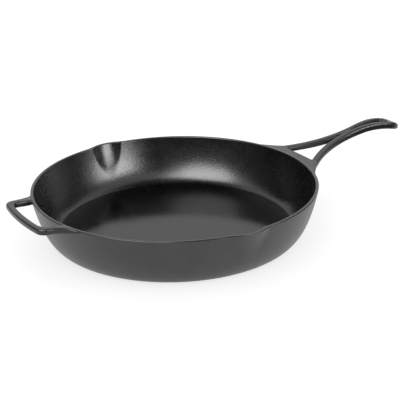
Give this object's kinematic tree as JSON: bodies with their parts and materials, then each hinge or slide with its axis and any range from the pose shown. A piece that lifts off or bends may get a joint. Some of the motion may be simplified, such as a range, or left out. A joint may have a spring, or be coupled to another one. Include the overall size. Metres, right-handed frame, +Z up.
{
  "type": "cast iron skillet",
  "caption": "Round frying pan with flared walls, two pour spouts, a long forked handle with a hanging slot and a short loop handle opposite.",
  "frame": {"origin": "centre of the flat underside of the pan, on the surface that it stands on", "axes": "+Z up through the middle of the pan, +X along the main handle, -X towards the loop handle, pour spouts towards +Y and -Y"},
  "size_m": [0.4837, 0.3144, 0.0718],
  "materials": {
    "cooking_surface": "seasoned, satin, fine turned grain",
    "seasoned_iron": "seasoned, satin, fine sand-cast pebble",
    "handle_iron": "seasoned, satin, worn lighter along the edges"
  },
  "bodies": {
    "root": {"cooking_floor": "cooking_surface", "heel": "seasoned_iron", "side_wall": "seasoned_iron", "rim": "seasoned_iron", "pour_spout_left": "seasoned_iron", "pour_spout_right": "seasoned_iron", "handle_web": "handle_iron", "handle_arm_left": "handle_iron", "handle_arm_right": "handle_iron", "handle_neck": "handle_iron", "handle_grip": "handle_iron", "assist_arm_left": "handle_iron", "assist_arm_right": "handle_iron", "assist_bar": "handle_iron"}
  },
  "joints": []
}
